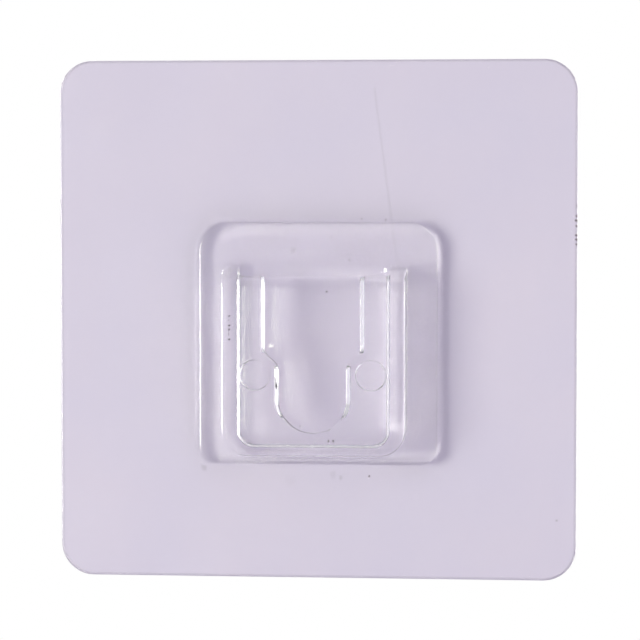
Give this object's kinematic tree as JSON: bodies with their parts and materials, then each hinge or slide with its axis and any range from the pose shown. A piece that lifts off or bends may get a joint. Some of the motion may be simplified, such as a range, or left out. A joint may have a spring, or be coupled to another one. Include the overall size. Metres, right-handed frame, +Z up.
{
  "type": "adhesive wall hook",
  "caption": "Clear square stick-on wall hook: an adhesive sheet carries a moulded, upward-open socket whose notched lip takes a hanging piece's tongue; a liner peels off the back.",
  "frame": {"origin": "middle of the adhesive's back face, on the surface of the wall that the hook sticks to", "axes": "+X to the right along the wall, +Y into the wall, +Z up the wall; the front of the hook faces -Y and the socket is open towards +Z"},
  "size_m": [0.06, 0.007, 0.06],
  "materials": {
    "clear_moulding": "clear, polished moulding",
    "clear_glue": "clear glue layer",
    "clear_sheet": "clear, slightly lilac sheet with a soft gloss",
    "adhesive": "clear pressure-sensitive adhesive",
    "liner_film": "milky release film"
  },
  "bodies": {
    "hook": {"hook_socket": "clear_moulding", "bond_film": "clear_glue", "backing_sheet": "clear_sheet", "adhesive_pad": "adhesive"},
    "liner": {"release_liner": "liner_film"}
  },
  "joints": [
    {"name": "liner_peel", "type": "slide", "parent": "hook", "child": "liner", "axis": [0, 1, 0], "range_m": [0, 0.03]}
  ]
}
